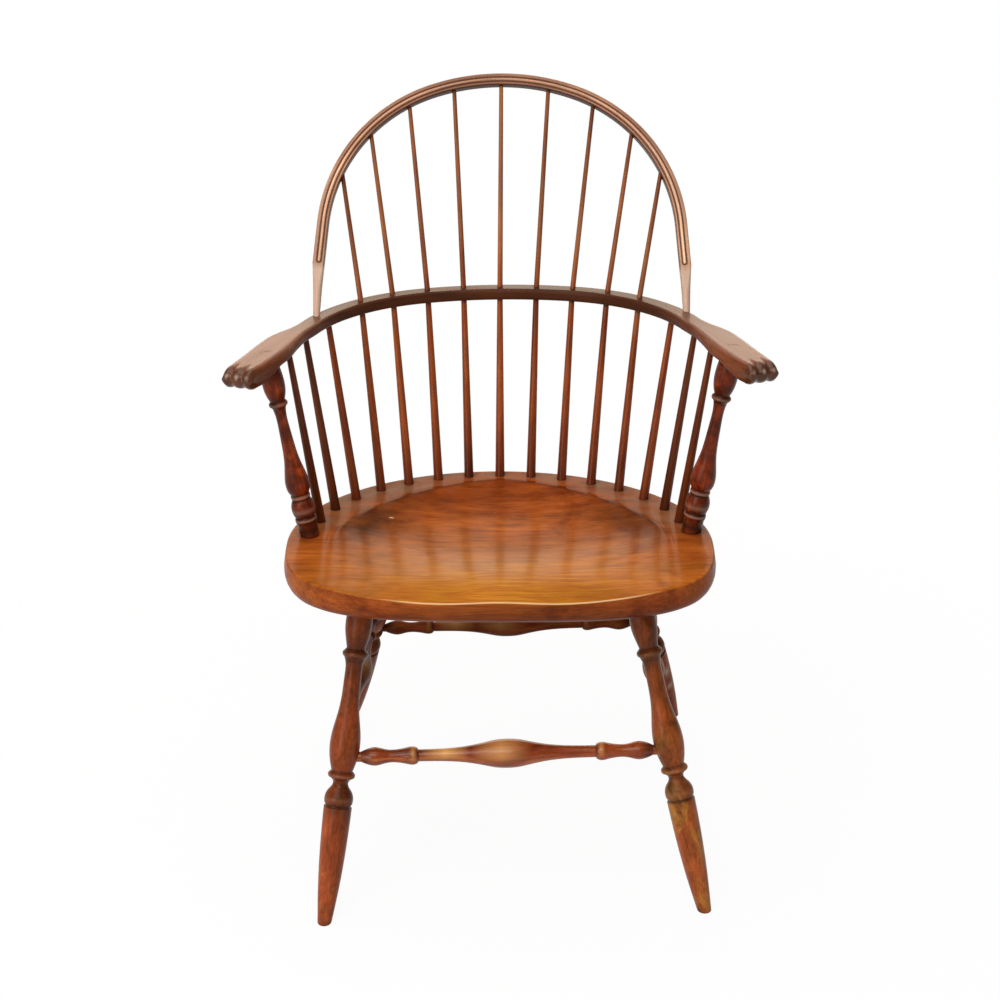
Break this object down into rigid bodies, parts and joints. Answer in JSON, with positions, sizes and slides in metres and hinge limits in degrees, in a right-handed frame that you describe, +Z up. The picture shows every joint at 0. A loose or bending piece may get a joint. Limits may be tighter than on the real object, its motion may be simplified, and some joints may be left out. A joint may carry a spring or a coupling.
{
  "type": "windsor armchair",
  "caption": "Wooden windsor armchair: a saddled plank seat on turned, splayed legs, slim spindles rising through a bent arm rail with carved hands into a bent hoop back.",
  "frame": {"origin": "middle of the chair's footprint, on the floor", "axes": "+Z up; the chair faces -Y; +X is to the right of someone who looks at its front"},
  "size_m": [0.6728, 0.5549, 0.962],
  "materials": {
    "seat_wood": "satin varnish",
    "turned_wood": "satin varnish",
    "bent_wood": "satin varnish",
    "spindle_wood": "satin varnish"
  },
  "bodies": {
    "root": {"arm_bow": "bent_wood", "arm_post_left": "turned_wood", "arm_post_right": "turned_wood", "arm_post_wedges": "bent_wood", "back_bow": "bent_wood", "hand_side_left": "bent_wood", "hand_side_right": "bent_wood", "hand_under_left": "bent_wood", "hand_under_right": "bent_wood", "leg_front_left": "turned_wood", "leg_front_right": "turned_wood", "leg_rear_left": "turned_wood", "leg_rear_right": "turned_wood", "long_spindle_1": "spindle_wood", "long_spindle_2": "spindle_wood", "long_spindle_3": "spindle_wood", "long_spindle_4": "spindle_wood", "long_spindle_5": "spindle_wood", "long_spindle_6": "spindle_wood", "long_spindle_7": "spindle_wood", "long_spindle_8": "spindle_wood", "long_spindle_9": "spindle_wood", "seat": "seat_wood", "short_spindle_left_1": "spindle_wood", "short_spindle_left_2": "spindle_wood", "short_spindle_left_3": "spindle_wood", "short_spindle_right_1": "spindle_wood", "short_spindle_right_2": "spindle_wood", "short_spindle_right_3": "spindle_wood", "stretcher_front": "turned_wood", "stretcher_left": "turned_wood", "stretcher_rear": "turned_wood", "stretcher_right": "turned_wood"}
  },
  "joints": []
}
